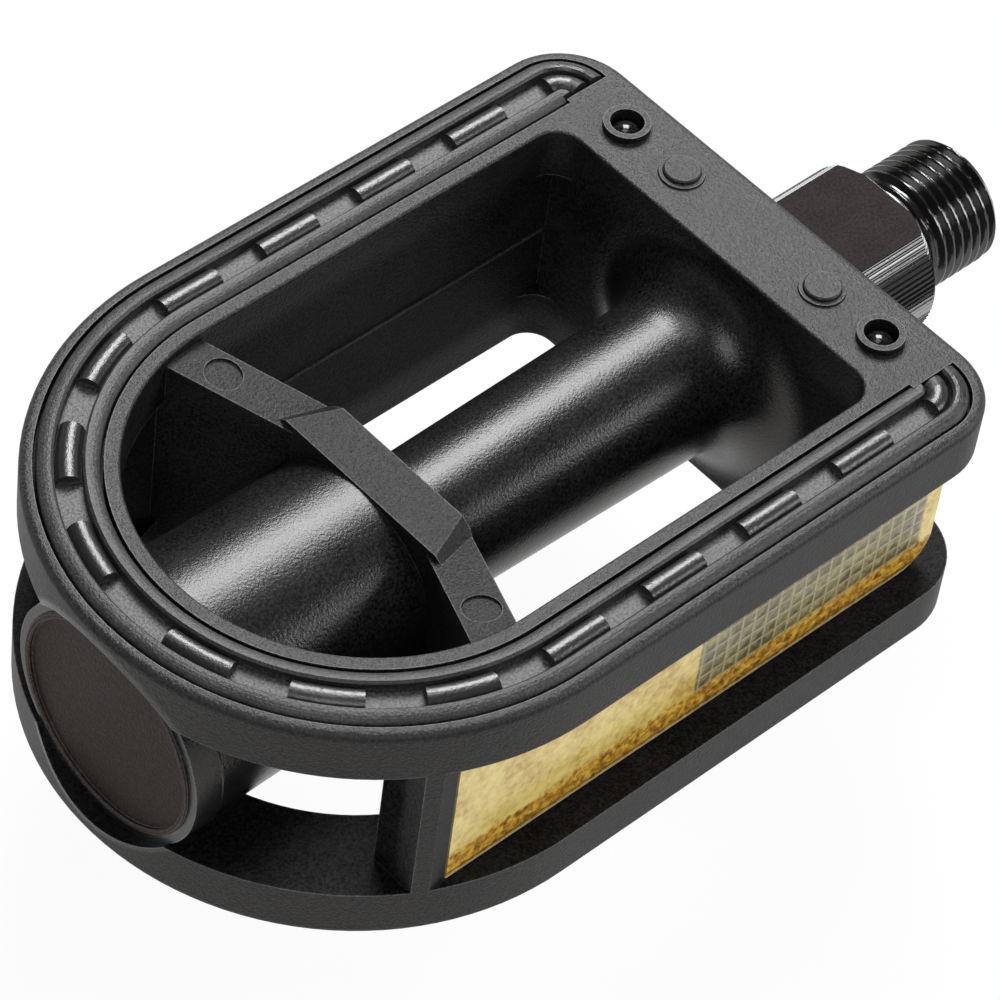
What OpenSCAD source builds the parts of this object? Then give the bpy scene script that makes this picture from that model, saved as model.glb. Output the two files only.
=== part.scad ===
// Bicycle pedal with a one-piece moulded cage, rubber treads, side reflectors and a ball-bearing spindle.
// Millimetres. X runs along the spindle towards the crank and Z is up. The origin is on the spindle's axis
// at the inner end of the crank thread, where its full diameter begins.

/* [Platform] */
// Half width of the cage over its rails, also the radius of its round outer end
cage_half_w = 32.7; // [31:0.1:36]
// Length of the straight rails, from the centre of the round end to the crank-side edge
rail_l = 57.8; // [54:0.1:68]
// Half height of the cage, from the spindle axis to a ring's top face
cage_half_h = 15.2; // [14.9:0.1:16.5]
// Thickness of each platform ring
ring_t = 6.2; // [5.6:0.1:6.6]
// Width of the ring, from its outer wall to the opening
ring_w = 9.7; // [9.2:0.1:10]
// Corner radius at the crank side
corner_r = 8; // [7:0.5:9]
// Width of the flat plate along the crank side
plate_w = 10.5; // [10:0.5:14]
// Corner radius of the opening
opening_r = 3; // [2:0.5:4]
// Rounding of the outer edges
edge_r = 0.9; // [0.5:0.1:1.2]
// Rounding of the opening's edges
lip_r = 0.4; // [0.2:0.1:0.6]

/* [Webs] */
// Thickness of the upright web that joins the two rings along each rail
web_t = 2; // [1.6:0.1:2.4]
// Thickness of the wall across the crank side of the opening
crank_wall_t = 3; // [2.5:0.5:4]
// Distance of the web's outer end from the centre of the round end
post_x = 16.3; // [15:0.1:17]
// Length of the post that closes the reflector's channel
post_l = 3.5; // [3:0.1:4.5]
// Distance of the stiffening ribs behind the crank wall from the cage's side
rib_inset = 14.3; // [13:0.1:15.5]
// Thickness of those ribs
rib_t = 2.4; // [2:0.2:3]
// Height of the mould's parting ridge
parting_h = 0.3; // [0.2:0.05:0.4]

/* [Cross wall] */
// Width of the cross wall at its middle
cross_w = 5.5; // [4.5:0.1:6.5]
// Place of the cross wall's outer face from the centre of the round end
cross_x = 0; // [-2:0.5:3]
// Angle at which its two arms bend back to the rails
cross_bend = 24; // [15:1:28]
// Half length of its middle part
cross_mid = 9.8; // [9:0.1:11]
// Half height of its middle part
cross_mid_h = 12.6; // [12.5:0.1:13]
// Turn of the slanted ends of its middle part, seen from above
cross_slope_turn = 22; // [15:1:26]
// Slope of those ends
cross_slope = 36; // [30:1:45]
// How far the arms lie below the middle part
cross_step = 1.1; // [0.6:0.1:1.4]
// Half height of the arms where they meet the rails
cross_end_h = 14; // [13.2:0.1:14.4]
// Diameter of the round ejector mark on each arm
ejector_d = 3.9; // [3:0.1:4.4]
// Depth of the ejector mark
ejector_depth = 0.3; // [0.2:0.05:0.5]

/* [Barrel] */
// Radius of the wide outer section at the cross wall
drum_r = 12.35; // [12:0.05:12.6]
// Radius of the round boss that holds the end cap
boss_r = 13.1; // [12.9:0.05:13.2]
// How far the boss lies back from the round end's outermost point
boss_setback = 2; // [1.5:0.1:2.6]
// Radius of the slim section at the cross wall
barrel_r = 7.9; // [7.6:0.1:8.4]
// Radius of the slim section where the flare begins
barrel_flare_r = 8.6; // [8.2:0.1:9]
// Radius of the hollow flare into the crank wall
flare_r = 6.6; // [5.5:0.1:7]
// Radius of the bearing housing between the two crank-side plates
housing_r = 13; // [12.8:0.1:13.6]
// Radius of the bore round the shaft
bore_r = 6.2; // [6:0.05:6.4]

/* [Plate studs] */
// Distance of the ring-shaped studs from the cage's side
ring_stud_inset = 14.25; // [13.2:0.05:15]
// Distance of the disc-shaped studs from the cage's side
disc_stud_inset = 22.5; // [21:0.1:24]
// Distance of the studs from the crank-side edge
stud_inset = 5.4; // [4.5:0.1:6]
// Outer diameter of a ring stud
ring_stud_d = 5; // [4.6:0.1:5.4]
// Diameter of its hole
ring_stud_bore = 3.6; // [3:0.1:3.8]
// Height of a ring stud above the plate
ring_stud_h = 0.9; // [0.6:0.1:1]
// Depth of its hole
ring_stud_depth = 3; // [2:0.2:4]
// Diameter of a disc stud
disc_stud_d = 3.9; // [3.4:0.1:4.2]
// Height of a disc stud above the plate
disc_stud_h = 0.8; // [0.6:0.1:1]
// Width of the step round a disc stud's foot
disc_stud_step = 0.55; // [0.4:0.05:0.7]

/* [Tread] */
// Width of the rubber tread
tread_w = 6.2; // [5.8:0.1:6.4]
// Distance of the tread's middle line from the outer wall
tread_inset = 4.7; // [4.5:0.1:4.9]
// Gap between the tread and its channel
tread_gap = 0.3; // [0.2:0.05:0.35]
// Depth of the channel
channel_depth = 1.8; // [1.6:0.1:2]
// How far the tread stands above the ring
tread_proud = 0.5; // [0.3:0.1:0.8]
// Width of the trough along the tread's middle
trough_w = 2.8; // [2.6:0.1:3]
// Depth of the trough below the ring's face
trough_depth = 0.8; // [0.5:0.1:1]
// Distance between neighbouring blocks along the tread
block_pitch = 12.7; // [12.4:0.1:13]
// Distance of the first block from the tip of the round end
block_start = 7.9; // [7:0.1:8.5]
// Length of a block
block_l = 7; // [6:0.1:7.6]
// Distance of the tread's turned ends from the cage's side
tread_end_inset = 7.2; // [7:0.1:7.4]

/* [Reflector] */
// Thickness of the lens
lens_t = 2.8; // [2.4:0.1:3]
// Thickness of the backing tray
lens_back_t = 1.2; // [1:0.1:1.4]
// Length of the lens
lens_l = 66; // [58:0.5:67]
// Radius of the lens's crank-side corners
lens_corner_r = 4; // [3:0.5:5]
// Width and depth of the lens's rim over its backing
lens_rim = 1.2; // [1:0.1:1.4]
// Depth of the lens's hollow
lens_hollow = 0.8; // [0.6:0.1:1]
// Gap round the lens in its channel, also behind its backing
lens_gap = 0.2; // [0.1:0.05:0.25]

/* [End cap] */
// Radius of the end cap
cap_r = 12.1; // [11.9:0.05:12.3]
// Radius of the recess in its face
cap_recess_r = 11.4; // [11:0.1:11.6]
// Depth of that recess
cap_recess = 0.5; // [0.3:0.1:0.8]
// Thickness of the cap's rim
cap_t = 1.9; // [1.7:0.1:2.1]
// Length of the skirt that plugs into the barrel
cap_skirt_l = 2.2; // [1.8:0.1:2.6]
// Wall of the skirt
cap_skirt_t = 1.2; // [1:0.1:1.4]
// How far the cap's face stands out of the boss
cap_proud = 0.4; // [0.2:0.1:0.6]

/* [Spindle] */
// Major diameter of the crank thread, a standard 9/16 inch
thread_d = 14.28; // [12.7:0.01:14.3]
// Length of the thread at its full diameter
thread_l = 8.06; // [7:0.02:12]
// Size of the chamfer at its end
thread_chamfer = 0.9; // [0.6:0.1:1.2]
// Length of the relief neck behind the thread
relief_l = 1.4; // [1:0.1:2]
// Diameter of the relief neck
relief_d = 12.2; // [11:0.1:12.6]
// Diameter of the serrated collar
collar_d = 19.4; // [19:0.1:20.4]
// Length of the serrated collar
collar_l = 12.6; // [11:0.2:14]
// Distance across the spanner flats
flats_w = 15; // [14.6:0.1:15.4]
// Number of serrations round the collar
serrations = 96; // [72:4:108]
// Depth of the serrations
serration_h = 0.25; // [0.2:0.05:0.3]
// Length of the chamfer at the collar's crank side
collar_chamfer = 1.3; // [1:0.1:1.6]
// Gap between the collar and the cage
collar_gap = 3.4; // [3:0.1:4]
// Diameter of the shaft inside the barrel
shaft_d = 9.8; // [9:0.1:10.4]
// Diameter of the threaded outer end, a standard 5/16 inch
tip_d = 7.94; // [7.8:0.01:8]
// Gap between the outer end and the end cap
tip_gap = 0.9; // [0.6:0.1:1.4]
// Width of the keyway along the outer end
keyway_w = 1.6; // [1.4:0.1:1.8]
// Depth of the keyway
keyway_depth = 0.8; // [0.6:0.1:1]

/* [Bearings] */
// Diameter of a bearing ball, a standard 5/32 inch
ball_d = 3.969; // [3.9:0.001:4]
// Number of balls at the crank side
inner_balls = 12; // [9:1:12]
// Radius of their circle
inner_pitch_r = 7.9; // [7.9:0.05:8]
// Number of balls at the outer end
outer_balls = 11; // [8:1:11]
// Radius of their circle
outer_pitch_r = 7.2; // [7.2:0.05:7.3]
// Running gap between a ball and its races
race_gap = 0.06; // [0.03:0.01:0.08]
// Depth of the inner ball circle inside the cage
inner_ball_depth = 3.8; // [3.7:0.1:4.2]
// Distance of the outer ball circle from the boss's face
outer_ball_depth = 10.7; // [10.3:0.1:11.2]
// Outer radius of the inner cup
inner_cup_r = 10.9; // [10.7:0.05:11]
// Outer radius of the outer cup
outer_cup_r = 10.2; // [10:0.05:10.4]
// Thickness of a cup behind its balls
cup_floor_t = 2.2; // [2:0.1:2.4]
// Length of a cup's wall past the middle of its balls
cup_lip = 2; // [1.8:0.1:2.1]
// Width of the dust seal along the spindle
seal_t = 1.2; // [1:0.1:1.2]
// Thickness of the outer cone's flange
cone_flange_t = 1.6; // [1.4:0.1:1.8]
// Thickness of the key washer
washer_t = 1; // [0.8:0.1:1.2]
// Outer diameter of the key washer
washer_d = 13.2; // [12:0.1:14]
// Thickness of the lock nut
nut_t = 3; // [2.6:0.1:3.2]
// Distance across the flats of the lock nut
nut_w = 13; // [12:0.5:14]

/* [Fits] */
// Radial clearance of pieces pushed or screwed together
seat_fit = 0.02; // [0.01:0.01:0.04]
// Radial clearance of the dust seal on the spindle
seal_fit = 0.08; // [0.05:0.01:0.1]
// Side clearance of the key washer's tongue in the keyway
key_fit = 0.1; // [0.05:0.05:0.15]

/* [Hidden] */
$fn = 96;
eps = 0.01;

// Places along X in the cage's own frame, whose origin is the centre of the round end
opening_x = rail_l - plate_w;
opening_half_w = cage_half_w - ring_w;
ring_z = cage_half_h - ring_t;
web_y = opening_half_w + web_t;
boss_x = -(cage_half_w - boss_setback);
stud_x = rail_l - stud_inset;
tread_r = cage_half_w - tread_inset;
tread_end_y = cage_half_w - tread_end_inset;
tread_turn_x = rail_l - corner_r + (cage_half_w - corner_r - tread_end_y) + 1;
block_top_z = cage_half_h + tread_proud;
lens_face_y = web_y + lens_gap + lens_back_t + lens_t;
ring_stud_y = cage_half_w - ring_stud_inset;
disc_stud_y = cage_half_w - disc_stud_inset;
lens_x0 = -post_x + post_l + lens_gap;
lens_half_h = ring_z - lens_gap;
inner_ball_x = rail_l - inner_ball_depth;
outer_ball_x = boss_x + outer_ball_depth;
cap_seat = cap_t - cap_proud;

// Places along X in the part's frame: the shoulder, and the centre of the cage's round end
runout_l = (thread_d - relief_d) / 2;
shoulder_x = -(relief_l + runout_l);
cage_x = shoulder_x - (collar_l + collar_gap + rail_l);

ball_r = ball_d / 2;
race_r = ball_r + race_gap;
collar_r = collar_d / 2;
tip_r = tip_d / 2;
shaft_r = shaft_d / 2;

INNER_BALLS = [for (i = [1:inner_balls]) str("inner_ball_", i)];
OUTER_BALLS = [for (i = [1:outer_balls]) str("outer_ball_", i)];

// A child and its mirror image across the plane with the given normal
module both(normal) {
    children();
    mirror(normal) children();
}

// Moves the cage's own frame into the part's frame
module in_cage() translate([cage_x, 0, 0]) children();

// Sweeps a profile, drawn as outward distance and height, round the closed outline of a ring.
module sweep_closed(half_w, crank_x, r) {
    rotate([0, 0, 90]) rotate_extrude(angle = 180) translate([half_w, 0]) children();
    both([0, 1, 0]) {
        rotate([90, 0, 90]) linear_extrude(crank_x - r) translate([half_w, 0]) children();
        translate([crank_x - r, half_w - r, 0]) rotate_extrude(angle = 90) translate([r, 0]) children();
    }
    translate([crank_x, half_w - r, 0]) rotate([90, 0, 0]) linear_extrude(2 * (half_w - r)) children();
}

// Sweeps a profile along the open U of a tread, with its middle line at the profile's zero.
module sweep_tread(extra = 0) {
    turn_r = tread_r - tread_end_y;
    rotate([0, 0, 90]) rotate_extrude(angle = 180) translate([tread_r, 0]) children();
    both([0, 1, 0]) {
        rotate([90, 0, 90]) linear_extrude(tread_turn_x + extra) translate([tread_r, 0]) children();
        translate([tread_turn_x, tread_end_y, 0]) rotate_extrude(angle = 90) intersection() {
            translate([turn_r, 0]) children();
            translate([0, -cage_half_h * 2]) square(cage_half_h * 4);
        }
    }
}

// A D-shaped outline with a round outer end and rounded crank-side corners
module d_outline(half_w, crank_x, r) {
    circle(half_w);
    translate([0, -half_w]) square([crank_x - r, 2 * half_w]);
    translate([0, r - half_w]) square([crank_x, 2 * (half_w - r)]);
    for (side = [-1, 1]) translate([crank_x - r, side * (half_w - r)]) circle(r);
}

// The waste outside a rounded edge whose sharp corner is at the origin
module edge_waste(r) difference() {
    translate([-r, -r]) square(2 * r);
    translate([-r, -r]) circle(r);
}

// A platform ring with its rounded edges, without the channel for the tread
module ring_slab() difference() {
    translate([0, 0, ring_z]) linear_extrude(ring_t) d_outline(cage_half_w, rail_l, corner_r);
    translate([0, 0, ring_z - 1]) linear_extrude(ring_t + 2)
        d_outline(opening_half_w, opening_x, opening_r);
    translate([0, 0, cage_half_h])
        sweep_closed(cage_half_w, rail_l, corner_r) edge_waste(edge_r);
    translate([0, 0, cage_half_h])
        sweep_closed(opening_half_w, opening_x, opening_r) mirror([1, 0]) edge_waste(lip_r);
}

module tread_channel() {
    half = tread_w / 2 + tread_gap;
    translate([0, 0, cage_half_h - channel_depth]) {
        sweep_tread(tread_gap) translate([-half, 0]) square([2 * half, channel_depth + 1]);
        both([0, 1, 0]) translate([tread_turn_x, tread_end_y - tread_gap, 0])
            cube([tread_r + half - tread_end_y, tread_gap, channel_depth + 1]);
    }
}

module ring_stud() translate([0, 0, cage_half_h - eps]) cylinder(d = ring_stud_d, h = ring_stud_h + eps);

// A stud with a low step round its foot and a narrow chamfer round its flat top
module disc_stud() translate([0, 0, cage_half_h - eps]) rotate_extrude() polygon([
    [0, 0], [disc_stud_d / 2 + disc_stud_step, 0],
    [disc_stud_d / 2 + disc_stud_step - 0.1, disc_stud_h * 0.35],
    [disc_stud_d / 2 + 0.1, disc_stud_h * 0.4], [disc_stud_d / 2, disc_stud_h - 0.15],
    [disc_stud_d / 2 - 0.15, disc_stud_h + eps], [0, disc_stud_h + eps]
]);

// The hollow of a ring stud, with a domed floor
module stud_hole() translate([0, 0, cage_half_h - ring_stud_depth]) difference() {
    cylinder(d = ring_stud_bore, h = ring_stud_depth + ring_stud_h + 1);
    translate([0, 0, -ring_stud_bore * 0.55]) sphere(d = ring_stud_bore * 1.6);
}

module webs() both([0, 1, 0]) {
    translate([-post_x, opening_half_w, -ring_z - eps])
        cube([opening_x + post_x + eps, web_t, 2 * (ring_z + eps)]);
    // Parting ridge along the web's inner face
    translate([cross_x, opening_half_w - parting_h / 2, -parting_h / 2])
        cube([opening_x - cross_x, parting_h, parting_h]);
    intersection() {
        translate([-post_x, opening_half_w, -ring_z - eps])
            cube([post_l, lens_face_y - opening_half_w, 2 * (ring_z + eps)]);
        cylinder(r = cage_half_w, h = 4 * ring_z, center = true);
    }
}

module crank_wall() {
    translate([opening_x, -web_y, -ring_z - eps]) cube([crank_wall_t, 2 * web_y, 2 * (ring_z + eps)]);
    both([0, 1, 0])
        translate([opening_x + crank_wall_t - eps, cage_half_w - rib_inset - rib_t / 2, -ring_z - eps])
            cube([plate_w - crank_wall_t - 1.5, rib_t, 2 * (ring_z + eps)]);
    rotate([0, 90, 0]) translate([0, 0, opening_x]) cylinder(r = housing_r, h = plate_w);
}

// The cross wall's middle part, with its top falling away in a slanted slope at both ends.
// Its crank-side corners follow the arms.
module cross_middle() {
    side = cross_x + cross_w;
    kink_y = cross_mid + 0.12;
    run = 0.9;
    end_y = cross_mid + cross_w / 2 * tan(cross_slope_turn) + 1.9;
    difference() {
        linear_extrude(cross_mid_h) polygon([
            [cross_x, -end_y], [side - run * tan(cross_bend), -kink_y - run], [side, -kink_y],
            [side, kink_y], [side - run * tan(cross_bend), kink_y + run], [cross_x, end_y]
        ]);
        both([0, 1, 0]) translate([cross_x + cross_w / 2, cross_mid, cross_mid_h])
            rotate([0, 0, -cross_slope_turn]) rotate([-cross_slope, 0, 0])
                translate([-cross_w, 0, 0]) cube([2 * cross_w, 8, 12]);
    }
}

// An arm of the cross wall, from inside its middle part to inside the web
module cross_arm() {
    arm_w = cross_w * cos(cross_bend);
    arm_l = (opening_half_w - cross_mid) / cos(cross_bend);
    start = 0.05 - cross_w / 2 * sin(cross_bend);
    low = cross_mid_h - cross_step;
    rise = atan((cross_end_h - low) / arm_l);
    intersection() {
        translate([cross_x + cross_w / 2, cross_mid, 0]) rotate([0, 0, cross_bend]) difference() {
            translate([-arm_w / 2, start, 0]) cube([arm_w, arm_l + 6, cross_end_h + 1]);
            translate([-arm_w, 0, low]) rotate([rise, 0, 0]) translate([0, -6, 0])
                cube([2 * arm_w, arm_l + 16, 4]);
            // The mark of an ejector pin
            translate([0, 0, low]) rotate([rise, 0, 0]) translate([0, arm_l * 0.69, -ejector_depth])
                cylinder(d = ejector_d, h = 2);
        }
        translate([-cage_half_w, 0, -1])
            cube([2 * cage_half_w, opening_half_w + web_t / 2, cage_half_h]);
    }
}

module cross_wall() both([0, 0, 1]) {
    cross_middle();
    both([0, 1, 0]) cross_arm();
}

// The barrel as one turned outline, from the boss to the flare
module barrel() {
    flare_x = opening_x - flare_r;
    intersection() {
        rotate([0, 90, 0]) rotate_extrude() difference() {
            polygon([
                [0, boss_x], [boss_r, boss_x], [boss_r, boss_x + 3.2], [boss_r - 0.3, boss_x + 3.6],
                [drum_r, cross_x + eps], [barrel_r, cross_x + cross_w / 2], [barrel_flare_r, flare_x],
                [barrel_flare_r + flare_r, flare_x], [barrel_flare_r + flare_r, opening_x + eps],
                [0, opening_x + eps]
            ]);
            translate([barrel_flare_r + flare_r, flare_x]) circle(flare_r);
        }
        translate([-cage_half_w, -opening_half_w, -cage_half_h + lip_r])
            cube([cage_half_w + rail_l, 2 * opening_half_w, 2 * (cage_half_h - lip_r)]);
    }
}

module barrel_bores() rotate([0, 90, 0]) {
    // The mouth in the rings' wall round the end cap
    translate([0, 0, -cage_half_w - 1]) cylinder(r = boss_r, h = boss_setback + 1);
    translate([0, 0, boss_x - 1]) cylinder(r = cap_r + seat_fit, h = cap_seat + 1);
    translate([0, 0, boss_x]) cylinder(r = outer_cup_r + seat_fit, h = outer_ball_depth + cup_back());
    translate([0, 0, boss_x]) cylinder(r = bore_r, h = rail_l);
    translate([0, 0, inner_ball_x - cup_back()])
        cylinder(r = inner_cup_r + seat_fit, h = inner_ball_depth + cup_back() + 1);
    translate([0, 0, 0]) cylinder(r = bore_r, h = rail_l);
}

module pedal_body() color([0.13, 0.13, 0.13]) in_cage() difference() {
    union() {
        both([0, 0, 1]) {
            ring_slab();
            both([0, 1, 0]) {
                translate([stud_x, ring_stud_y, 0]) ring_stud();
                translate([stud_x, disc_stud_y, 0]) disc_stud();
            }
        }
        webs();
        crank_wall();
        cross_wall();
        barrel();
    }
    barrel_bores();
    both([0, 0, 1]) {
        tread_channel();
        both([0, 1, 0]) translate([stud_x, ring_stud_y, 0]) stud_hole();
    }
}

// Points of a quarter ellipse, falling from the ridge's top to the tread's edge
function ridge(sign, n = 6) = [for (i = [0:n])
    let (a = 90 * (sign > 0 ? i : n - i) / n, top = trough_w / 2 + 0.25)
    [sign * (top + (tread_w / 2 - top) * sin(a)), -0.3 + (tread_proud + 0.3) * cos(a)]
];

module tread_profile() {
    half = trough_w / 2;
    polygon(concat(
        [[-tread_w / 2, -channel_depth]], ridge(-1),
        [[-half, tread_proud - 0.25], [-half + 0.05, -trough_depth], [half - 0.05, -trough_depth],
         [half, tread_proud - 0.25]],
        ridge(1), [[tread_w / 2, -channel_depth]]
    ));
}

// A half-round block on the trough's floor, centred s millimetres from the tip of the round end
module tread_block(s) {
    r = trough_w / 2 - 0.1;
    z = block_top_z - r;
    arc_l = tread_r * 90 * PI / 180;
    s0 = s - block_l / 2;
    s1 = s + block_l / 2;
    // The part on the round end
    if (s0 < arc_l) {
        a1 = min(s1, arc_l) / tread_r * 180 / PI;
        a0 = s0 / tread_r * 180 / PI;
        rotate([0, 0, 180 - a1]) rotate_extrude(angle = a1 - a0) translate([tread_r, z]) circle(r);
    }
    // The part on the straight rail
    if (s1 > arc_l)
        translate([max(s0 - arc_l, 0), tread_r, z]) rotate([0, 90, 0])
            cylinder(r = r, h = s1 - max(s0, arc_l));
}

// The curved block in the crank-side corner
module corner_block() {
    r = trough_w / 2 - 0.1;
    translate([tread_turn_x, tread_end_y, 0]) rotate([0, 0, 3])
        rotate_extrude(angle = 86) translate([tread_r - tread_end_y, block_top_z - r]) circle(r);
}

module tread() intersection() {
    union() {
        translate([0, 0, cage_half_h]) sweep_tread() tread_profile();
        both([0, 1, 0]) {
            for (i = [0:6]) tread_block(block_start + i * block_pitch);
            corner_block();
        }
    }
    translate([-cage_half_w, -cage_half_w, cage_half_h - channel_depth])
        cube([cage_half_w + rail_l, 2 * cage_half_w, channel_depth + tread_proud + 1]);
}

module upper_tread() color([0.2, 0.2, 0.2]) in_cage() tread();

module lower_tread() color([0.2, 0.2, 0.2]) in_cage() mirror([0, 0, 1]) tread();

// A lens's outline, seen from the side, with two rounded corners at the crank side
module lens_outline(inset = 0) {
    r = lens_corner_r;
    w = lens_l - inset;
    h = lens_half_h - inset;
    translate([inset, -h]) square([w - inset - r, 2 * h]);
    translate([inset, r - h]) square([w - inset, 2 * (h - r)]);
    for (side = [-1, 1]) translate([w - r, side * (h - r)]) circle(r);
}

// The near-side lens: a shallow tray of amber plastic with its open side towards the web
module reflector_lens() translate([lens_x0, -lens_face_y, 0]) rotate([90, 0, 0])
    mirror([0, 0, 1]) difference() {
        linear_extrude(lens_t) lens_outline();
        translate([0, 0, lens_t - lens_hollow]) linear_extrude(2 * lens_hollow) lens_outline(lens_rim);
    }

// The backing tray, welded into the lens from behind
module reflector_back() translate([lens_x0, -lens_face_y + lens_t, 0]) rotate([90, 0, 0])
    mirror([0, 0, 1]) {
        linear_extrude(lens_back_t) lens_outline();
        translate([0, 0, seat_fit - lens_hollow]) linear_extrude(lens_hollow)
            lens_outline(lens_rim + seat_fit);
    }

module front_reflector_lens() color([0.93, 0.75, 0.3]) in_cage() reflector_lens();

module front_reflector_back() color([0.8, 0.62, 0.2]) in_cage() reflector_back();

module rear_reflector_lens() color([0.93, 0.75, 0.3]) in_cage() mirror([0, 1, 0]) reflector_lens();

module rear_reflector_back() color([0.8, 0.62, 0.2]) in_cage() mirror([0, 1, 0]) reflector_back();

module end_cap() color([0.16, 0.16, 0.16]) in_cage() rotate([0, 90, 0]) rotate_extrude() {
    x0 = boss_x + cap_seat - cap_t;
    skirt = outer_cup_r - seat_fit;
    polygon([
        [0, x0 + cap_recess], [cap_recess_r - 0.1, x0 + cap_recess], [cap_recess_r, x0 + cap_recess - 0.1],
        [cap_recess_r, x0 + 0.15], [cap_recess_r + 0.15, x0], [cap_r - 0.2, x0], [cap_r, x0 + 0.2],
        [cap_r, x0 + cap_t], [skirt, x0 + cap_t], [skirt, x0 + cap_t + cap_skirt_l - 0.3],
        [skirt - 0.3, x0 + cap_t + cap_skirt_l], [skirt - cap_skirt_t, x0 + cap_t + cap_skirt_l],
        [skirt - cap_skirt_t, x0 + cap_t], [0, x0 + cap_t]
    ]);
}

// Distance from a ball circle to the back of its cup
function cup_back() = ball_r + cup_floor_t;

// A cup in profile: the balls' circle is at height 0 and radius pitch_r, and the open side faces up.
module cup_profile(outer_r, pitch_r) difference() {
    inner_r = pitch_r - 0.55 * ball_r;
    translate([inner_r, -cup_back()]) square([outer_r - inner_r, cup_back() + cup_lip]);
    translate([pitch_r, 0]) circle(race_r);
    translate([pitch_r - race_r, 0]) square([2 * race_r, 2 * cup_lip]);
}

module inner_cup() color([0.72, 0.73, 0.75]) in_cage() translate([inner_ball_x, 0, 0])
    rotate([0, 90, 0]) rotate_extrude() cup_profile(inner_cup_r, inner_pitch_r);

module outer_cup() color([0.72, 0.73, 0.75]) in_cage() translate([outer_ball_x, 0, 0])
    rotate([0, -90, 0]) rotate_extrude() cup_profile(outer_cup_r, outer_pitch_r);

module dust_seal() color([0.1, 0.1, 0.1]) in_cage() translate([rail_l - seal_t - 0.2, 0, 0])
    rotate([0, 90, 0]) difference() {
        cylinder(r = inner_cup_r - seat_fit, h = seal_t);
        translate([0, 0, -seal_t]) cylinder(r = flange_r() + seal_fit, h = 3 * seal_t);
    }

module ball() sphere(r = ball_r);

module inner_ball(i) color([0.8, 0.81, 0.83]) in_cage() translate([inner_ball_x, 0, 0])
    rotate([360 / inner_balls * (i - 0.5), 0, 0]) translate([0, inner_pitch_r, 0]) ball();

module outer_ball(i) color([0.8, 0.81, 0.83]) in_cage() translate([outer_ball_x, 0, 0])
    rotate([360 / outer_balls * (i - 0.5), 0, 0]) translate([0, outer_pitch_r, 0]) ball();

// Radius of the spindle's flange beside the inner balls
function flange_r() = inner_pitch_r + 0.4;

// X of the spindle's outer tip, in the part's frame
function tip_x() = cage_x + boss_x + cap_seat + tip_gap;

// The serrated collar with its two spanner flats, ending at the shoulder
module collar() translate([shoulder_x, 0, 0]) intersection() {
    rotate([0, 90, 0]) mirror([0, 0, 1]) linear_extrude(collar_l) polygon([
        for (i = [0:2 * serrations - 1])
            let (a = 180 / serrations * i, r = collar_r - (i % 2) * serration_h) [r * cos(a), r * sin(a)]
    ]);
    rotate([0, 90, 0]) rotate_extrude() polygon([
        [0, -collar_l], [collar_r - 0.5, -collar_l], [collar_r, -collar_l + 0.5], [collar_r, -collar_chamfer],
        [collar_r - 1.25 * collar_chamfer, 0], [0, 0]
    ]);
    translate([-collar_l, -collar_r, -flats_w / 2]) cube([collar_l, 2 * collar_r, flats_w]);
}

module spindle() color([0.17, 0.16, 0.16]) difference() {
    union() {
        collar();
        // The relief neck, the thread's run-out, the thread at its major diameter and its end chamfer
        rotate([0, 90, 0]) rotate_extrude() polygon([
            [0, shoulder_x - eps], [relief_d / 2, shoulder_x - eps], [relief_d / 2, -runout_l],
            [thread_d / 2, 0], [thread_d / 2, thread_l],
            [thread_d / 2 - thread_chamfer, thread_l + thread_chamfer], [0, thread_l + thread_chamfer]
        ]);
        rotate([0, 90, 0]) rotate_extrude() difference() {
            inner_x = cage_x + inner_ball_x;
            polygon([
                [0, tip_x()], [tip_r - 0.5, tip_x()], [tip_r, tip_x() + 0.5],
                [tip_r, cage_x + outer_ball_x + ball_r + 1.2],
                [shaft_r, cage_x + outer_ball_x + ball_r + 2.2], [shaft_r, inner_x - 16],
                [inner_pitch_r - race_r, inner_x - 8], [inner_pitch_r - race_r, inner_x],
                [inner_pitch_r, inner_x], [flange_r(), inner_x + race_r - 0.1],
                [flange_r(), shoulder_x - collar_l + eps], [0, shoulder_x - collar_l + eps]
            ]);
            translate([inner_pitch_r, inner_x]) circle(race_r);
        }
    }
    // Keyway for the washer's tongue
    translate([tip_x() - 1, -keyway_w / 2, tip_r - keyway_depth])
        cube([cage_x + outer_ball_x - tip_x(), keyway_w, 2 * keyway_depth]);
}

// X of the outer cone's outer face, in the part's frame
function cone_face_x() = cage_x + outer_ball_x - race_r - cone_flange_t;

module outer_cone() color([0.7, 0.71, 0.73]) rotate([0, 90, 0]) difference() {
    rotate_extrude() difference() {
        ball_x = cage_x + outer_ball_x;
        polygon([
            [tip_r + seat_fit, cone_face_x()], [outer_pitch_r + 0.4, cone_face_x()],
            [outer_pitch_r + 0.4, ball_x - race_r + 0.1], [outer_pitch_r, ball_x],
            [outer_pitch_r - race_r, ball_x], [outer_pitch_r - race_r, ball_x + ball_r + 0.4],
            [tip_r + seat_fit, ball_x + ball_r + 0.4]
        ]);
        translate([outer_pitch_r, ball_x]) circle(race_r);
    }
}

module key_washer() color([0.75, 0.75, 0.76]) translate([cone_face_x() - washer_t, 0, 0]) {
    rotate([0, 90, 0]) difference() {
        cylinder(d = washer_d, h = washer_t);
        translate([0, 0, -1]) cylinder(r = tip_r + seat_fit, h = washer_t + 2);
    }
    translate([0, key_fit - keyway_w / 2, tip_r - keyway_depth + key_fit])
        cube([washer_t, keyway_w - 2 * key_fit, 1.5 * keyway_depth]);
}

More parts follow.
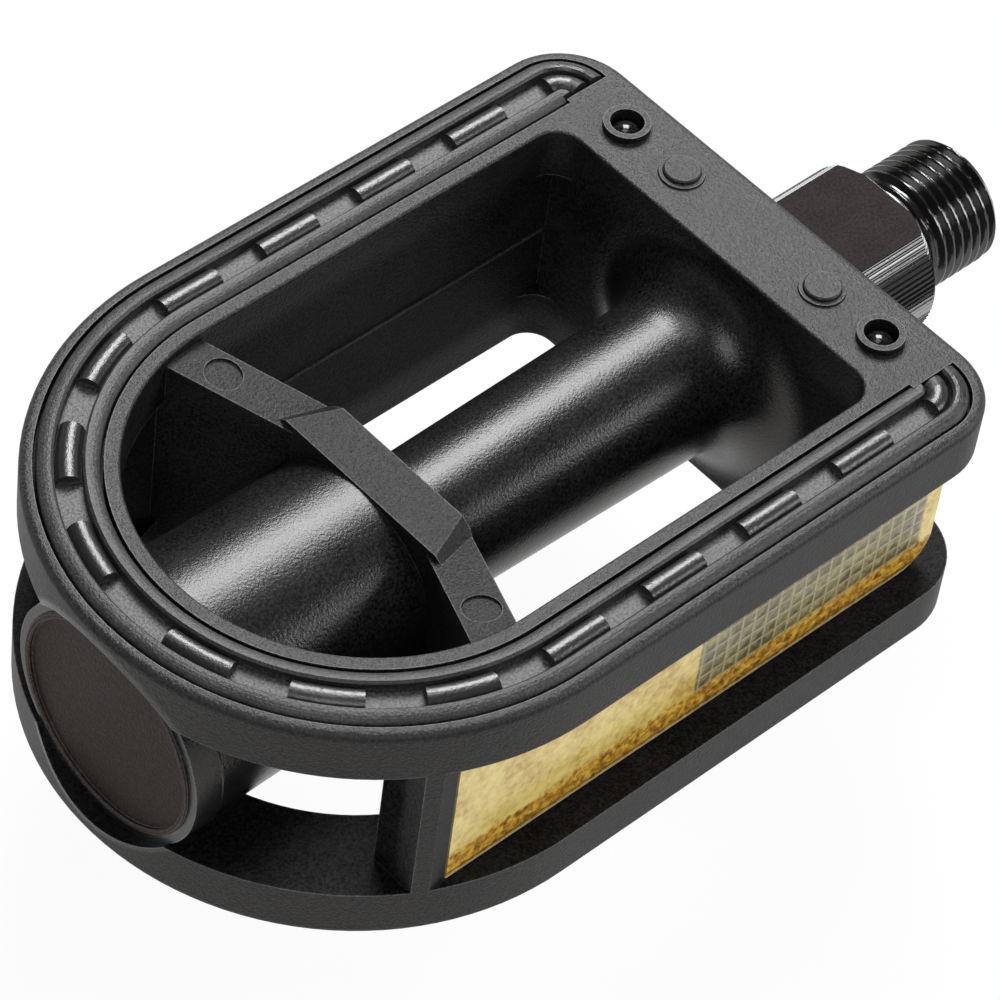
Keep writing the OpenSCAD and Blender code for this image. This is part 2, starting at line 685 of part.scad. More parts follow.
module lock_nut() color([0.75, 0.75, 0.76]) translate([cone_face_x() - washer_t - nut_t, 0, 0])
    rotate([0, 90, 0]) difference() {
        intersection() {
            cylinder(d = nut_w / cos(30), h = nut_t, $fn = 6);
            rotate_extrude() polygon([
                [0, 0], [nut_w / 2 + 0.1, 0], [nut_w / 2 + 1.4, 0.8], [nut_w / 2 + 1.4, nut_t], [0, nut_t]
            ]);
        }
        translate([0, 0, -1]) cylinder(r = tip_r + seat_fit, h = nut_t + 2);
    }

pedal_body();
upper_tread();
lower_tread();
front_reflector_lens();
front_reflector_back();
rear_reflector_lens();
rear_reflector_back();
end_cap();
inner_cup();
outer_cup();
dust_seal();
spindle();
outer_cone();
key_washer();
lock_nut();
for (i = [1:inner_balls]) inner_ball(i);
for (i = [1:outer_balls]) outer_ball(i);
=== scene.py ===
import math
import bpy
from mathutils import Matrix, Vector


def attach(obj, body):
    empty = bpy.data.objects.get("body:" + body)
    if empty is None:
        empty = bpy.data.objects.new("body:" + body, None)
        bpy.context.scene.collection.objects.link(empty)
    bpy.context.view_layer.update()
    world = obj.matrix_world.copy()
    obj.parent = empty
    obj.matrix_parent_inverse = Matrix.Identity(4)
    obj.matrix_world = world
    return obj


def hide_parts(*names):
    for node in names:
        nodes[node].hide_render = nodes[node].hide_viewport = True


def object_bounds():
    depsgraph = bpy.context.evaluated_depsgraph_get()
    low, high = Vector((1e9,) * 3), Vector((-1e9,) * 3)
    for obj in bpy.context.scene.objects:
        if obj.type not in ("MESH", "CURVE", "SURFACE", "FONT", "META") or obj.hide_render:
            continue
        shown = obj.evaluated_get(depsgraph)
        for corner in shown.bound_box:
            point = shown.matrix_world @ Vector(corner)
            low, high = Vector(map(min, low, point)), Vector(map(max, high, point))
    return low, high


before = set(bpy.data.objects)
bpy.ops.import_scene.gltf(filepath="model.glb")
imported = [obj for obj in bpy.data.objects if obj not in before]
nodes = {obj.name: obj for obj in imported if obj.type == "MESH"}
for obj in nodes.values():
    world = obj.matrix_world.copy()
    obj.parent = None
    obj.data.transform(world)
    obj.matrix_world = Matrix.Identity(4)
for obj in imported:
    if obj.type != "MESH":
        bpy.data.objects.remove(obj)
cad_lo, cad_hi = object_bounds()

MM = 0.001

# Places on the cage, in metres
ROUND_END_X = -0.07624      # centre of the round end
CROSS_WALL_OUT_X = -0.0793  # outer side of the cross wall
CRANK_WALL_IN_X = -0.0289   # inner side of the crank wall
SLIM_BARREL_X = -0.0625     # from here the barrel only widens towards its flare
TREAD_R = 0.0280            # middle of the tread's trough, from the outline's centre
PRISMS_X = (-0.05645, -0.0249)  # the part of the lens that has prisms
PRISM = 0.00175             # width of one prism


# Shader helpers

def new_material(name):
    m = bpy.data.materials.new(name)
    m.use_nodes = True
    nt = m.node_tree
    bsdf = next(n for n in nt.nodes if n.type == "BSDF_PRINCIPLED")
    return m, nt, bsdf


def add(nt, kind, **values):
    n = nt.nodes.new(kind)
    for key, value in values.items():
        if key in n.inputs:
            n.inputs[key].default_value = value
        else:
            setattr(n, key, value)
    return n


def noise(nt, coords, scale, detail=2.0, rough=0.5):
    n = add(nt, "ShaderNodeTexNoise", Scale=scale, Detail=detail, Roughness=rough)
    nt.links.new(coords, n.inputs["Vector"])
    return n.outputs["Fac"]


def math_node(nt, op, a, b=None, clamp=False):
    n = nt.nodes.new("ShaderNodeMath")
    n.operation = op
    n.use_clamp = clamp
    for i, v in enumerate((a, b)):
        if v is None:
            continue
        if isinstance(v, (int, float)):
            n.inputs[i].default_value = v
        else:
            nt.links.new(v, n.inputs[i])
    return n.outputs[0]


def ramp(nt, fac, stops):
    n = nt.nodes.new("ShaderNodeValToRGB")
    el = n.color_ramp.elements
    while len(el) < len(stops):
        el.new(0.5)
    for e, (p, c) in zip(el, stops):
        e.position = p
        e.color = c if len(c) == 4 else (*c, 1.0)
    nt.links.new(fac, n.inputs["Fac"])
    return n.outputs["Color"]


def step(nt, value, low, high):
    n = nt.nodes.new("ShaderNodeMapRange")
    n.interpolation_type = "SMOOTHSTEP"
    n.inputs["From Min"].default_value = low
    n.inputs["From Max"].default_value = high
    nt.links.new(value, n.inputs["Value"])
    return n.outputs["Result"]


def mix(nt, fac, a, b):
    n = nt.nodes.new("ShaderNodeMix")
    n.data_type = "RGBA"
    for socket, v in ((n.inputs[0], fac), (n.inputs[6], a), (n.inputs[7], b)):
        if isinstance(v, (int, float)):
            socket.default_value = v
        elif isinstance(v, tuple):
            socket.default_value = v if len(v) == 4 else (*v, 1.0)
        else:
            nt.links.new(v, socket)
    return n.outputs[2]


def bump(nt, bsdf, height, strength, distance):
    n = add(nt, "ShaderNodeBump", Strength=strength, Distance=distance)
    nt.links.new(height, n.inputs["Height"])
    nt.links.new(n.outputs["Normal"], bsdf.inputs["Normal"])


def coords(nt):
    return nt.nodes.new("ShaderNodeTexCoord").outputs["Object"]


def xyz(nt, vector):
    n = nt.nodes.new("ShaderNodeSeparateXYZ")
    nt.links.new(vector, n.inputs[0])
    return n.outputs[0], n.outputs[1], n.outputs[2]


def remap(nt, value, low, high):
    """Maps 0..1 to low..high."""
    n = add(nt, "ShaderNodeMapRange")
    nt.links.new(value, n.inputs["Value"])
    n.inputs["To Min"].default_value = low
    n.inputs["To Max"].default_value = high
    return n.outputs["Result"]


def band(nt, value, middle, half_width):
    """A step from 0 to 1 about middle."""
    return step(nt, value, middle - half_width, middle + half_width)


def one_minus(nt, value):
    """1 - value."""
    return math_node(nt, "SUBTRACT", 1.0, value)


def length(nt, a, b):
    """The length of (a, b)."""
    squares = math_node(nt, "ADD", math_node(nt, "MULTIPLY", a, a), math_node(nt, "MULTIPLY", b, b))
    return math_node(nt, "SQRT", squares)


def blend_noise(nt, coarse, fine, share):
    """The two noises added, with this share of the coarse one."""
    coarse, fine = math_node(nt, "MULTIPLY", coarse, share), math_node(nt, "MULTIPLY", fine, 1.0 - share)
    return math_node(nt, "ADD", coarse, fine)


def multiply_add(nt, value, factor, offset):
    """value * factor + offset."""
    out = math_node(nt, "MULTIPLY_ADD", value, factor)
    out.node.inputs[2].default_value = offset
    return out


def facing_up(nt):
    """1 on faces that look along Z, in the piece's own frame, and 0 on its upright walls."""
    _, _, nz = xyz(nt, nt.nodes.new("ShaderNodeTexCoord").outputs["Normal"])
    return step(nt, math_node(nt, "ABSOLUTE", nz), 0.30, 0.75)


def edges(nt, radius):
    """How far the surface turns away within the radius: 0 on flat ground, near 1 on a sharp edge."""
    bev = nt.nodes.new("ShaderNodeBevel")
    bev.samples = 3
    bev.inputs["Radius"].default_value = radius
    dot = nt.nodes.new("ShaderNodeVectorMath")
    dot.operation = "DOT_PRODUCT"
    nt.links.new(bev.outputs["Normal"], dot.inputs[0])
    nt.links.new(nt.nodes.new("ShaderNodeNewGeometry").outputs["Normal"], dot.inputs[1])
    return step(nt, math_node(nt, "SUBTRACT", 1.0, dot.outputs["Value"]), 0.02, 0.22)


def from_outline(nt, x, y):
    """Distance from the cage's middle line, or from the centre of its round end."""
    return length(nt, math_node(nt, "MINIMUM", math_node(nt, "ADD", x, -ROUND_END_X), 0.0), y)


def open_sky(nt, distance):
    """1 in the open and 0 in a narrow corner."""
    ao = nt.nodes.new("ShaderNodeAmbientOcclusion")
    ao.samples = 3
    ao.only_local = True
    ao.inputs["Distance"].default_value = distance
    return ao.outputs["AO"]


# Materials

def moulded_black(name, base, rough, grain, smooth_barrel=False, painted_light=False):
    """Grained plastic; smooth_barrel makes the barrel shinier. The last flag paints highlights along the edges
    into the colour, and paints light and shade through the reflection: stronger on faces looking up and, with
    smooth_barrel, on the outer walls, weaker in narrow corners and down inside the frame.
    """
    m, nt, b = new_material(name)
    c = coords(nt)
    fine = noise(nt, c, 3400.0, 2.0, 0.6)
    coarse = noise(nt, c, 160.0, 3.0)
    grains = blend_noise(nt, coarse, fine, 0.2)
    col = ramp(nt, grains, [(0.38, tuple(v * 0.3 for v in base)), (0.62, tuple(v * 2.2 for v in base))])
    nt.links.new(col, b.inputs["Base Color"])
    r = multiply_add(nt, coarse, 0.12, rough - 0.06)
    height = fine
    if smooth_barrel:
        x, y, z = xyz(nt, c)
        radius = length(nt, y, z)
        barrel = one_minus(nt, band(nt, radius, 0.01247, 0.00005))
        drum = math_node(nt, "MULTIPLY", one_minus(nt, band(nt, x, CROSS_WALL_OUT_X, 0.0001)),
                         one_minus(nt, band(nt, radius, 0.0138, 0.0004)))
        flare = math_node(nt, "MULTIPLY", band(nt, x, SLIM_BARREL_X, 0.0005),
                          one_minus(nt, band(nt, radius, 0.0145, 0.0020)))
        inside = math_node(nt, "MAXIMUM", math_node(nt, "MAXIMUM", barrel, drum), flare)
        inside = math_node(nt, "MULTIPLY", inside, one_minus(nt, band(nt, x, CRANK_WALL_IN_X, 0.0003)))
        r = math_node(nt, "MULTIPLY", r, remap(nt, inside, 1.0, 0.56))
        height = math_node(nt, "MULTIPLY", fine, remap(nt, inside, 1.0, 0.30))
    nt.links.new(r, b.inputs["Roughness"])
    bump(nt, b, height, grain, 0.00016)
    if painted_light:
        # Painted highlight: the moulded edges are painted bright in the colour; painted shade: narrow corners
        # reflect less
        free = open_sky(nt, 0.0008)
        edge_highlight = math_node(nt, "MULTIPLY", edges(nt, 0.00022), step(nt, free, 0.55, 0.85))
        edge_highlight = math_node(nt, "MULTIPLY", edge_highlight, remap(nt, fine, 0.1, 1.1))
        edge_highlight_colour = mix(nt, math_node(nt, "MULTIPLY", edge_highlight, 0.6), col, (0.48, 0.48, 0.48))
        nt.links.new(edge_highlight_colour, b.inputs["Base Color"])
        # Painted light: faces looking up reflect more than upright walls, and the walls' reflections are tinted
        # warm
        flat = facing_up(nt)
        level = remap(nt, flat, 0.16, 0.52)
        nt.links.new(mix(nt, flat, (1.0, 0.93, 0.87), (1.0, 1.0, 1.0)), b.inputs["Specular Tint"])
        if smooth_barrel:
            # The outer walls are lit more than the walls and tops down inside the frame
            up = math_node(nt, "ABSOLUTE", z)
            outer = math_node(nt, "MAXIMUM", band(nt, from_outline(nt, x, y), 0.0305, 0.0007),
                              band(nt, x, -0.0195, 0.0005))
            low = one_minus(nt, band(nt, up, 0.01465, 0.00035))
            level = math_node(nt, "MULTIPLY", level, one_minus(nt, math_node(nt, "MULTIPLY", low, 0.45)))
            level = math_node(nt, "MAXIMUM", level, math_node(nt, "MULTIPLY", outer, 0.30))
            # The ledges between the two rings lie in shade
            lit = math_node(nt, "MAXIMUM", band(nt, up, 0.01075, 0.00175),
                            math_node(nt, "MULTIPLY", outer, one_minus(nt, flat)))
            level = math_node(nt, "MULTIPLY", level, remap(nt, lit, 0.25, 1.0))
            level = math_node(nt, "MAXIMUM", level, math_node(nt, "MULTIPLY", inside, 0.42))
        # Painted shade: narrow corners reflect less
        level = math_node(nt, "MULTIPLY", level, remap(nt, step(nt, free, 0.1, 0.8), 0.15, 1.0))
        nt.links.new(level, b.inputs["Specular IOR Level"])
    return m


def rubber(name):
    """Satin rubber. The blocks in the trough are shinier than the ridges, and the trough's floor is duller."""
    m, nt, b = new_material(name)
    c = coords(nt)
    fine = noise(nt, c, 3400.0, 2.0, 0.6)
    coarse = noise(nt, c, 220.0, 3.0)
    x, y, z = xyz(nt, c)
    top = band(nt, math_node(nt, "ABSOLUTE", z), 0.0150, 0.0003)
    ridge = ramp(nt, blend_noise(nt, coarse, fine, 0.4),
                 [(0.38, (0.010, 0.010, 0.011)), (0.62, (0.040, 0.040, 0.041))])
    floor_col = ramp(nt, fine, [(0.38, (0.020, 0.020, 0.020)), (0.62, (0.10, 0.10, 0.098))])
    off_middle = math_node(nt, "ABSOLUTE", math_node(nt, "SUBTRACT", from_outline(nt, x, y), TREAD_R))
    trough = one_minus(nt, band(nt, off_middle, 0.001375, 0.000125))
    block = math_node(nt, "MULTIPLY", trough, top)
    col = mix(nt, math_node(nt, "MULTIPLY", trough, one_minus(nt, top)), ridge, floor_col)
    nt.links.new(mix(nt, block, col, (0.014, 0.014, 0.014)), b.inputs["Base Color"])
    nt.links.new(remap(nt, block, 0.50, 0.34), b.inputs["Roughness"])
    # Painted light: faces looking up reflect more than walls; painted shade: narrow corners reflect less
    level = math_node(nt, "MULTIPLY", remap(nt, facing_up(nt), 0.30, 0.55),
                      remap(nt, step(nt, open_sky(nt, 0.0008), 0.1, 0.7), 0.2, 1.0))
    level = math_node(nt, "MAXIMUM", level, math_node(nt, "MULTIPLY", block, 0.8))
    nt.links.new(level, b.inputs["Specular IOR Level"])
    height = math_node(nt, "MULTIPLY", fine, one_minus(nt, math_node(nt, "MULTIPLY", block, 0.4)))
    bump(nt, b, height, 0.6, 0.00014)
    return m


def amber_lens(name):
    """Smooth straw amber outside, small square prisms towards the crank, a speckled orange band below."""
    m, nt, b = new_material(name)
    c = coords(nt)
    x, y, z = xyz(nt, c)
    cloud = noise(nt, c, 260.0, 3.0)
    speck = noise(nt, c, 1100.0, 3.0, 0.65)
    fine = noise(nt, c, 2600.0, 2.0)
    mottle = blend_noise(nt, cloud, speck, 0.5)
    smooth = ramp(nt, mottle,
                  [(0.38, (0.50, 0.32, 0.05)), (0.48, (0.68, 0.50, 0.12)), (0.60, (0.80, 0.64, 0.20))])
    fu, fv = (math_node(nt, "ABSOLUTE", math_node(nt, "SUBTRACT", math_node(nt, "FRACT", math_node(
        nt, "MULTIPLY", along, 1.0 / PRISM)), 0.5)) for along in (x, z))
    cell = math_node(nt, "MAXIMUM", fu, fv)
    line = math_node(nt, "MULTIPLY", step(nt, cell, 0.38, 0.47), remap(nt, fine, 0.2, 1.3))
    zone = math_node(nt, "MULTIPLY", band(nt, x, PRISMS_X[0], 0.00025),
                     one_minus(nt, band(nt, x, PRISMS_X[1], 0.0003)))
    prisms = ramp(nt, mottle,
                  [(0.38, (0.08, 0.065, 0.02)), (0.50, (0.17, 0.14, 0.05)), (0.62, (0.33, 0.27, 0.10))])
    prisms = mix(nt, math_node(nt, "MULTIPLY", line, 0.8), prisms, (0.50, 0.44, 0.24))
    col = mix(nt, zone, smooth, prisms)
    # The speckled band along the lower edge, with a dark line of painted shade in a groove and a light line of
    # painted highlight on the lower lip
    ragged = math_node(nt, "ADD", z, multiply_add(nt, speck, 0.0016, -0.0008))
    low = one_minus(nt, band(nt, ragged, -0.0054, 0.0004))
    speckled = ramp(nt, speck,
                    [(0.36, (0.18, 0.07, 0.01)), (0.48, (0.50, 0.24, 0.02)), (0.62, (0.80, 0.50, 0.06))])
    col = mix(nt, math_node(nt, "MULTIPLY", low, 0.95), col, speckled)
    # Painted shade: a dark line in the groove
    off_groove = math_node(nt, "ABSOLUTE", math_node(nt, "ADD", z, 0.00812))
    groove_shade = one_minus(nt, step(nt, off_groove, 0.00005, 0.00014))
    col = mix(nt, math_node(nt, "MULTIPLY", groove_shade, 0.85), col, (0.10, 0.05, 0.015))
    # Painted highlight: a light line along the lower lip
    edge_highlight = one_minus(nt, band(nt, z, -0.0085, 0.0001))
    col = mix(nt, math_node(nt, "MULTIPLY", edge_highlight, 0.8), col, (0.72, 0.62, 0.42))
    nt.links.new(col, b.inputs["Base Color"])
    b.inputs["Roughness"].default_value = 0.30
    b.inputs["Coat Weight"].default_value = 0.35
    b.inputs["Coat Roughness"].default_value = 0.10
    relief = math_node(nt, "MULTIPLY", zone, math_node(nt, "SUBTRACT", 0.5, cell))
    height = math_node(nt, "ADD", relief, math_node(nt, "MULTIPLY", speck, 0.25))
    bump(nt, b, height, 0.7, 0.0004)
    return m


def black_oxide(name):
    """Black-oxide steel: a dull brownish skin on the collar's flats, shinier serrations and thread."""
    m, nt, b = new_material(name)
    c = coords(nt)
    x, y, z = xyz(nt, c)
    fine = noise(nt, c, 3200.0, 2.0, 0.6)
    coarse = noise(nt, c, 260.0, 3.0)
    collar = one_minus(nt, band(nt, x, -0.00249, 0.00003))
    flat = math_node(nt, "MULTIPLY", band(nt, math_node(nt, "ABSOLUTE", z), 0.007445, 0.000025), collar)
    skin = ramp(nt, blend_noise(nt, coarse, fine, 0.25),
                [(0.38, (0.010, 0.007, 0.007)), (0.62, (0.026, 0.019, 0.020))])
    nt.links.new(mix(nt, flat, (0.008, 0.007, 0.007), skin), b.inputs["Base Color"])
    nt.links.new(remap(nt, flat, 0.16, 0.62), b.inputs["Roughness"])
    level = math_node(nt, "MULTIPLY", remap(nt, collar, 0.8, 0.5), remap(nt, flat, 1.0, 0.15))
    nt.links.new(level, b.inputs["Specular IOR Level"])
    bump(nt, b, math_node(nt, "MULTIPLY", fine, remap(nt, flat, 0.2, 1.0)), 0.4, 0.00006)
    return m


def steel(name, base, rough):
    m, nt, b = new_material(name)
    c = coords(nt)
    n = noise(nt, c, 900.0, 3.0, 0.6)
    coarse = noise(nt, c, 130.0, 2.0)
    col = ramp(nt, coarse, [(0.3, tuple(v * 0.8 for v in base)), (0.7, tuple(min(1.0, v * 1.2) for v in base))])
    nt.links.new(col, b.inputs["Base Color"])
    b.inputs["Metallic"].default_value = 1.0
    nt.links.new(multiply_add(nt, n, 0.16, rough - 0.08), b.inputs["Roughness"])
    bump(nt, b, n, 0.12, 0.00003)
    return m


cage_black = moulded_black("cage_black", (0.009, 0.009, 0.0094), 0.50, 0.85, smooth_barrel=True, painted_light=True)
cap_black = moulded_black("cap_black", (0.016, 0.009, 0.007), 0.56, 0.8, painted_light=True)
stud_black = moulded_black("stud_black", (0.010, 0.010, 0.010), 0.14, 0.05)
tread_black = rubber("tread_black")
lens_amber = amber_lens("lens_amber")
back_amber = moulded_black("back_amber", (0.72, 0.45, 0.10), 0.35, 0.1)
spindle_black = black_oxide("spindle_black")
race_steel = steel("race_steel", (0.50, 0.50, 0.51), 0.25)
ball_steel = steel("ball_steel", (0.78, 0.78, 0.79), 0.12)
zinc = steel("zinc", (0.60, 0.60, 0.62), 0.32)
seal_black = moulded_black("seal_black", (0.02, 0.02, 0.02), 0.6, 0.3)

LOOKS = {
    "pedal_body": cage_black, "upper_tread": tread_black, "lower_tread": tread_black,
    "front_reflector_lens": lens_amber, "rear_reflector_lens": lens_amber,
    "front_reflector_back": back_amber, "rear_reflector_back": back_amber,
    "end_cap": cap_black, "inner_cup": race_steel, "outer_cup": race_steel, "outer_cone": race_steel,
    "dust_seal": seal_black, "spindle": spindle_black, "key_washer": zinc, "lock_nut": zinc,
}
for name, obj in nodes.items():
    look = LOOKS.get(name, ball_steel)
    obj.data.materials.clear()
    obj.data.materials.append(look)


# Spindle with its cut thread and serrations

PITCH, MAJOR, MINOR = 1.27, 7.14, 6.42
FLAT_Z, COLLAR_R, TEETH, TOOTH = 7.5, 9.7, 27, 0.24
SHOULDER = -2.44
FLAT_ANGLE = math.asin(FLAT_Z / COLLAR_R)
TOOTH_SHAPE = (1.0, 1.0, 0.55, 0.0, 0.0, 0.55)
FLAT_COLS = 36


def spindle_rows():
    """Stations along the spindle: X, radius, whether it has flats, thread height (0 to 1), keyway, smooth."""
    rows = [(-102.1, 3.47, 0, 0, 1, 1)]
    rows += [(-101.6, 3.97, 0, 0, 1, 1), (-94.8, 3.97, 0, 0, 1, 1), (-94.79, 3.97, 0, 0, 0, 1)]
    rows += [(-90.6, 3.97, 0, 0, 0, 1), (-89.6, 4.9, 0, 0, 0, 1)]
    rows += [(-35.8, 4.9, 0, 0, 0, 1), (-27.8, 5.85, 0, 0, 0, 1)]
    for k in range(13):
        a = math.radians(-90 + (90 + 11.3) * k / 12)
        rows.append((-19.8 + 2.05 * math.cos(a), 7.9 + 2.05 * math.sin(a), 0, 0, 0, 1))
    rows += [(-12.62, 8.3, 0, 0, 0, 1), (-12.6, 9.2, 1, 0, 0, 0), (-12.1, COLLAR_R, 1, 0, 0, 0)]
    rows += [(-1.3, COLLAR_R, 1, 0, 0, 0), (-0.9, 9.35, 1, 0, 0, 0)]
    rows += [(-0.1, 8.3, 1, 0, 0, 0), (0.0, 8.1, 1, 0, 0, 0)]
    rows += [(0.01, 6.3, 0, 0, 0, 1), (0.15, 6.12, 0, 0, 0, 1), (1.3, 6.12, 0, 0, 0, 1), (1.5, 6.2, 0, 0, 0, 1)]
    x = 1.55
    while x < 11.4:
        grow = min(1.0, max(0.0, (x - 1.5) / 1.1))
        rows.append((x, MINOR - 0.2 * (1 - grow), 0, grow, 0, 0))
        x += 0.075
    rows.append((11.4, 6.3, 0, 0, 0, 0))
    return rows


def spindle_radius(x, r, has_flats, thread, keyway, column, angle):
    if has_flats:
        if column[0] == "round":
            return r - TOOTH * (1 - TOOTH_SHAPE[column[1] % 6]) * (0.35 if r < 9.3 else 1.0)
        return min(r, FLAT_Z / max(abs(math.sin(angle)), 1e-6))
    if thread:
        p = (x / PITCH - angle / (2 * math.pi)) % 1.0
        q = abs(p - 0.5) * 2
        lift = min(1.0, max(0.0, (q - 0.22) / 0.60)) * thread
        end = MAJOR - max(0.0, x - 10.6) * 1.0
        return min(r + (MAJOR - r) * lift, end)
    if keyway and math.sin(angle) > 0 and abs(r * math.cos(angle)) < 0.8:
        return min(r, 3.17 / math.sin(angle))
    return r


def make_spindle():
    rows = spindle_rows()
    cols = []
    for side in (0, 1):
        cols += [("round", k, k / (TEETH * 6)) for k in range(TEETH * 6)]
        cols += [("flat", k, k / FLAT_COLS) for k in range(FLAT_COLS)]
    half = len(cols) // 2
    verts, faces, smooth = [], [], []
    for x, r, has_flats, thread, keyway, soft in rows:
        phi = math.asin(min(1.0, FLAT_Z / r)) if has_flats else FLAT_ANGLE
        for i, c in enumerate(cols):
            start = math.pi if i >= half else 0.0
            if c[0] == "round":
                angle = start - phi + 2 * phi * c[2]
            else:
                angle = start + phi + (math.pi - 2 * phi) * c[2]
            rad = spindle_radius(x, r, has_flats, thread, keyway, c, angle)
            verts.append(((x + SHOULDER) * MM, rad * math.cos(angle) * MM, rad * math.sin(angle) * MM))
    n = len(cols)
    for j in range(len(rows) - 1):
        for i in range(n):
            k = (i + 1) % n
            faces.append((j * n + i, j * n + k, (j + 1) * n + k, (j + 1) * n + i))
            smooth.append(bool(rows[j][5] and rows[j + 1][5]))
    faces.append(tuple(range(n - 1, -1, -1)))
    smooth.append(False)
    faces.append(tuple((len(rows) - 1) * n + i for i in range(n)))
    smooth.append(False)
    mesh = bpy.data.meshes.new("spindle_turned")
    mesh.from_pydata(verts, [], faces)
    mesh.polygons.foreach_set("use_smooth", smooth)
    mesh.validate()
    mesh.update()
    obj = bpy.data.objects.new("spindle_turned", mesh)
    bpy.context.scene.collection.objects.link(obj)
    obj.data.materials.append(spindle_black)
    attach(obj, "spindle")
    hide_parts("spindle")
    return obj


make_spindle()


# The shiny round button inside each ring stud
BUTTON_R, BUTTON_H, BUTTON_TOP, BUTTON_FOOT = 1.62, 1.15, 15.55, 12.6
STUDS = [(-23.84, side * 18.45, face) for side in (-1, 1) for face in (-1, 1)]


def make_buttons():
    sphere_r = (BUTTON_R ** 2 + BUTTON_H ** 2) / (2 * BUTTON_H)
    wedge = math.asin(BUTTON_R / sphere_r)
    for k, (x, y, face) in enumerate(STUDS):
        verts, faces = [(x * MM, y * MM, face * BUTTON_TOP * MM)], []
        rings, around = 10, 40
        for j in range(1, rings + 1):
            a = wedge * j / rings
            for i in range(around):
                t = 2 * math.pi * i / around
                r = sphere_r * math.sin(a)
                drop = sphere_r * (1 - math.cos(a))
                z = face * (BUTTON_TOP - drop)
                verts.append(((x + r * math.cos(t)) * MM, (y + r * math.sin(t)) * MM, z * MM))
        # The foot reaches the floor of the stud's hole
        for i in range(around):
            t = 2 * math.pi * i / around
            foot = Vector((x + BUTTON_R * math.cos(t), y + BUTTON_R * math.sin(t), face * BUTTON_FOOT))
            verts.append(tuple(foot * MM))
        for i in range(around):
            faces.append((0, 1 + i, 1 + (i + 1) % around))
        for j in range(rings):
            for i in range(around):
                a0, a1 = 1 + j * around + i, 1 + j * around + (i + 1) % around
                faces.append((a0, a0 + around, a1 + around, a1))
        faces.append(tuple(1 + rings * around + i for i in reversed(range(around))))
        if face < 0:
            faces = [tuple(reversed(f)) for f in faces]
        mesh = bpy.data.meshes.new("stud_button_%d" % (k + 1))
        mesh.from_pydata(verts, [], faces)
        mesh.polygons.foreach_set("use_smooth", [len(f) < 5 for f in faces])
        mesh.update()
        obj = bpy.data.objects.new(mesh.name, mesh)
        bpy.context.scene.collection.objects.link(obj)
        obj.data.materials.append(stud_black)
        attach(obj, "cage")


make_buttons()


# Studio

MIDDLE = Vector((-0.06, 0, 0))


def softbox(name, azimuth, elevation, size, power):
    """A square soft light half a metre away; azimuth 0 lies along +Y and 90 along +X."""
    a, e = math.radians(azimuth), math.radians(elevation)
    away = Vector((math.sin(a) * math.cos(e), math.cos(a) * math.cos(e), math.sin(e)))
    data = bpy.data.lights.new(name, "AREA")
    data.energy = power
    data.size = size
    obj = bpy.data.objects.new(name, data)
    bpy.context.scene.collection.objects.link(obj)
    obj.location = MIDDLE + away * 0.5
    obj.rotation_euler = (-away).to_track_quat("-Z", "Y").to_euler()


softbox("key", 47, 53, 0.24, 3.2)
softbox("side", 135, 22, 0.20, 1.05)
softbox("fill", 228, 38, 0.20, 0.6)
softbox("overhead", 0, 84, 0.25, 0.5)

world = bpy.data.worlds.new("studio")
bpy.context.scene.world = world
world.use_nodes = True
wt = world.node_tree
bg = next(n for n in wt.nodes if n.type == "BACKGROUND")
out = next(n for n in wt.nodes if n.type == "OUTPUT_WORLD")
bg.inputs["Color"].default_value = (0.5, 0.5, 0.5, 1)
bg.inputs["Strength"].default_value = 0.25
white = wt.nodes.new("ShaderNodeBackground")
white.inputs["Strength"].default_value = 1.0
path = wt.nodes.new("ShaderNodeLightPath")
seen = math_node(wt, "MAXIMUM", path.outputs["Is Camera Ray"], path.outputs["Is Transmission Ray"])
seen = math_node(wt, "MAXIMUM", seen, path.outputs["Is Glossy Ray"])
# The background is white all round; a mirror that faces up also sees the studio's dark ceiling
_, _, height = xyz(wt, wt.nodes.new("ShaderNodeTexCoord").outputs["Generated"])
ceiling = math_node(wt, "MULTIPLY", step(wt, height, 0.02, 0.30), path.outputs["Is Glossy Ray"])
wt.links.new(mix(wt, ceiling, (1.0, 1.0, 1.0), (0.05, 0.05, 0.05)), white.inputs["Color"])
blend = wt.nodes.new("ShaderNodeMixShader")
wt.links.new(seen, blend.inputs[0])
wt.links.new(bg.outputs[0], blend.inputs[1])
wt.links.new(white.outputs[0], blend.inputs[2])
wt.links.new(blend.outputs[0], out.inputs["Surface"])

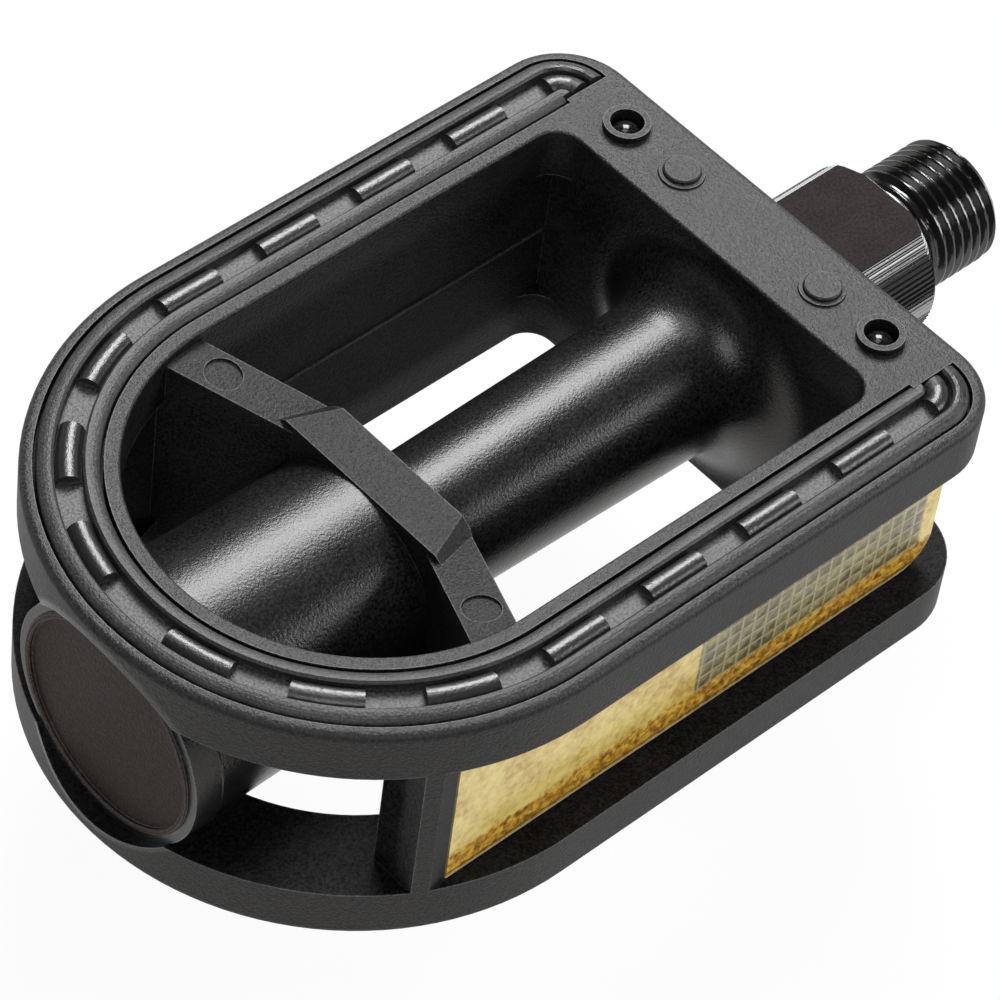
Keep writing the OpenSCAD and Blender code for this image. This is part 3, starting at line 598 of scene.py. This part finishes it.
# Floor: white to the camera where nothing shades it, and clear of the cage wherever it turns
reach = math.hypot(cad_hi.y, cad_hi.z)
bpy.ops.mesh.primitive_plane_add(size=4, location=(0, 0, -reach - 0.0005))
floor = bpy.context.object
floor.name = "floor"
fm, ft, fb = new_material("floor_white")
fb.inputs["Base Color"].default_value = (0.8, 0.8, 0.8, 1)
fb.inputs["Roughness"].default_value = 0.9
fe = ft.nodes.new("ShaderNodeEmission")
fe.inputs["Strength"].default_value = 1.0
fmix = ft.nodes.new("ShaderNodeMixShader")
fpath = ft.nodes.new("ShaderNodeLightPath")
fseen = math_node(ft, "MAXIMUM", fpath.outputs["Is Camera Ray"], fpath.outputs["Is Transmission Ray"])
fseen = math_node(ft, "MAXIMUM", fseen, fpath.outputs["Is Glossy Ray"])
fs = math_node(ft, "MULTIPLY", fseen, 0.95)
fo = next(n for n in ft.nodes if n.type == "OUTPUT_MATERIAL")
ft.links.new(fs, fmix.inputs[0])
ft.links.new(fb.outputs[0], fmix.inputs[1])
ft.links.new(fe.outputs[0], fmix.inputs[2])
ft.links.new(fmix.outputs[0], fo.inputs["Surface"])
floor.data.materials.append(fm)

# Camera, solved from the photograph
CAM = Vector((-306.812, -221.329, 375.176)) * MM
AZ, EL, ROLL = (math.radians(v) for v in (48.593, 48.542, 8.27))
FOCAL = 5034.0
d = Vector((math.sin(AZ) * math.cos(EL), math.cos(AZ) * math.cos(EL), -math.sin(EL)))
right = Vector((math.cos(AZ), -math.sin(AZ), 0))
up = right.cross(d)
R = math.cos(ROLL) * right + math.sin(ROLL) * up
U = -math.sin(ROLL) * right + math.cos(ROLL) * up
cam_data = bpy.data.cameras.new("camera")
cam_data.sensor_width = 36.0
cam_data.lens = FOCAL * 36.0 / 1000.0
cam_data.clip_start = 0.01
cam_data.clip_end = 10.0
camera = bpy.data.objects.new("camera", cam_data)
bpy.context.scene.collection.objects.link(camera)
camera.matrix_world = Matrix((
    (R.x, U.x, -d.x, CAM.x), (R.y, U.y, -d.y, CAM.y), (R.z, U.z, -d.z, CAM.z), (0, 0, 0, 1)))
bpy.context.scene.camera = camera
bpy.context.scene.view_settings.view_transform = "Standard"
